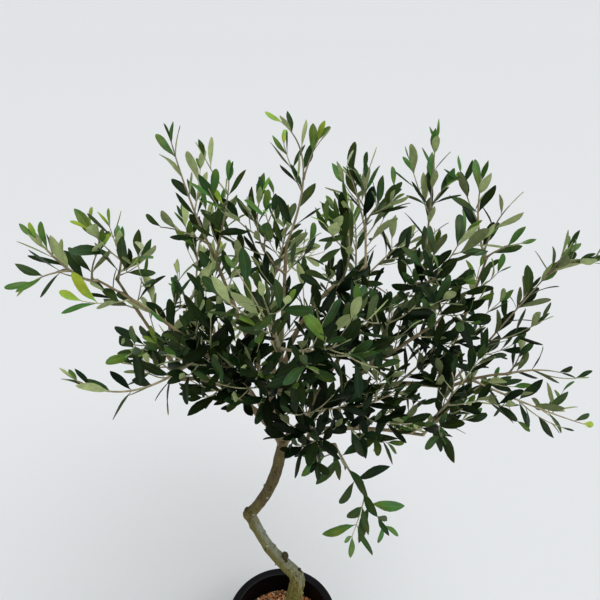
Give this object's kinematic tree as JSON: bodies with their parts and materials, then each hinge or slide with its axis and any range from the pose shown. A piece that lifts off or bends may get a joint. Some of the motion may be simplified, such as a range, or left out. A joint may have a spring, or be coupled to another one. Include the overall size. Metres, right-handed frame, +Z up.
{
  "type": "potted olive tree",
  "caption": "Young olive tree with a kinked bare trunk, a low open spray of arching boughs and narrow leathery leaves, in a black nursery pot.",
  "frame": {"origin": "middle of the pot's flat underside, on the floor", "axes": "+Z up; the widest side of the tree faces -Y, and the longest boughs reach towards +X"},
  "size_m": [0.9689, 0.6731, 1.3032],
  "materials": {
    "leaf": "leathery leaf, glossy dark green above, matt grey-green below",
    "bark": "smooth olive-grey bark with small knots",
    "pot": "black moulded plastic",
    "gravel": "red-brown baked clay grit over potting mix"
  },
  "bodies": {
    "root": {"bough_back": "bark", "bough_back_left": "bark", "bough_back_right": "bark", "bough_far_left": "bark", "bough_far_right": "bark", "bough_front": "bark", "bough_front_left": "bark", "bough_front_low": "bark", "bough_front_right": "bark", "bough_left": "bark", "bough_left_reach": "bark", "bough_left_rise": "bark", "bough_low": "bark", "bough_right": "bark", "bough_right_end": "bark", "bough_right_rise": "bark", "bough_top": "bark", "bough_upright": "bark", "pot": "pot", "soil": "gravel", "spray_back": "leaf", "spray_back_high": "leaf", "spray_back_left": "leaf", "spray_back_left_high": "leaf", "spray_back_low": "leaf", "spray_back_right": "leaf", "spray_back_right_high": "leaf", "spray_centre": "leaf", "spray_drooping": "leaf", "spray_front_centre": "leaf", "spray_front_left": "leaf", "spray_front_low": "leaf", "spray_front_mid": "leaf", "spray_front_right": "leaf", "spray_front_top": "leaf", "spray_left_base": "leaf", "spray_left_crest": "leaf", "spray_left_fork": "leaf", "spray_left_front": "leaf", "spray_left_inner": "leaf", "spray_left_low": "leaf", "spray_left_tip": "leaf", "spray_left_top": "leaf", "spray_left_under": "leaf", "spray_low_middle": "leaf", "spray_right_base": "leaf", "spray_right_column": "leaf", "spray_right_front": "leaf", "spray_right_high": "leaf", "spray_right_inner": "leaf", "spray_right_level": "leaf", "spray_right_low": "leaf", "spray_right_mid": "leaf", "spray_right_tip": "leaf", "spray_right_top": "leaf", "spray_right_under": "leaf", "spray_top": "leaf", "spray_top_left": "leaf", "spray_top_right": "leaf", "trunk": "bark"}
  },
  "joints": []
}
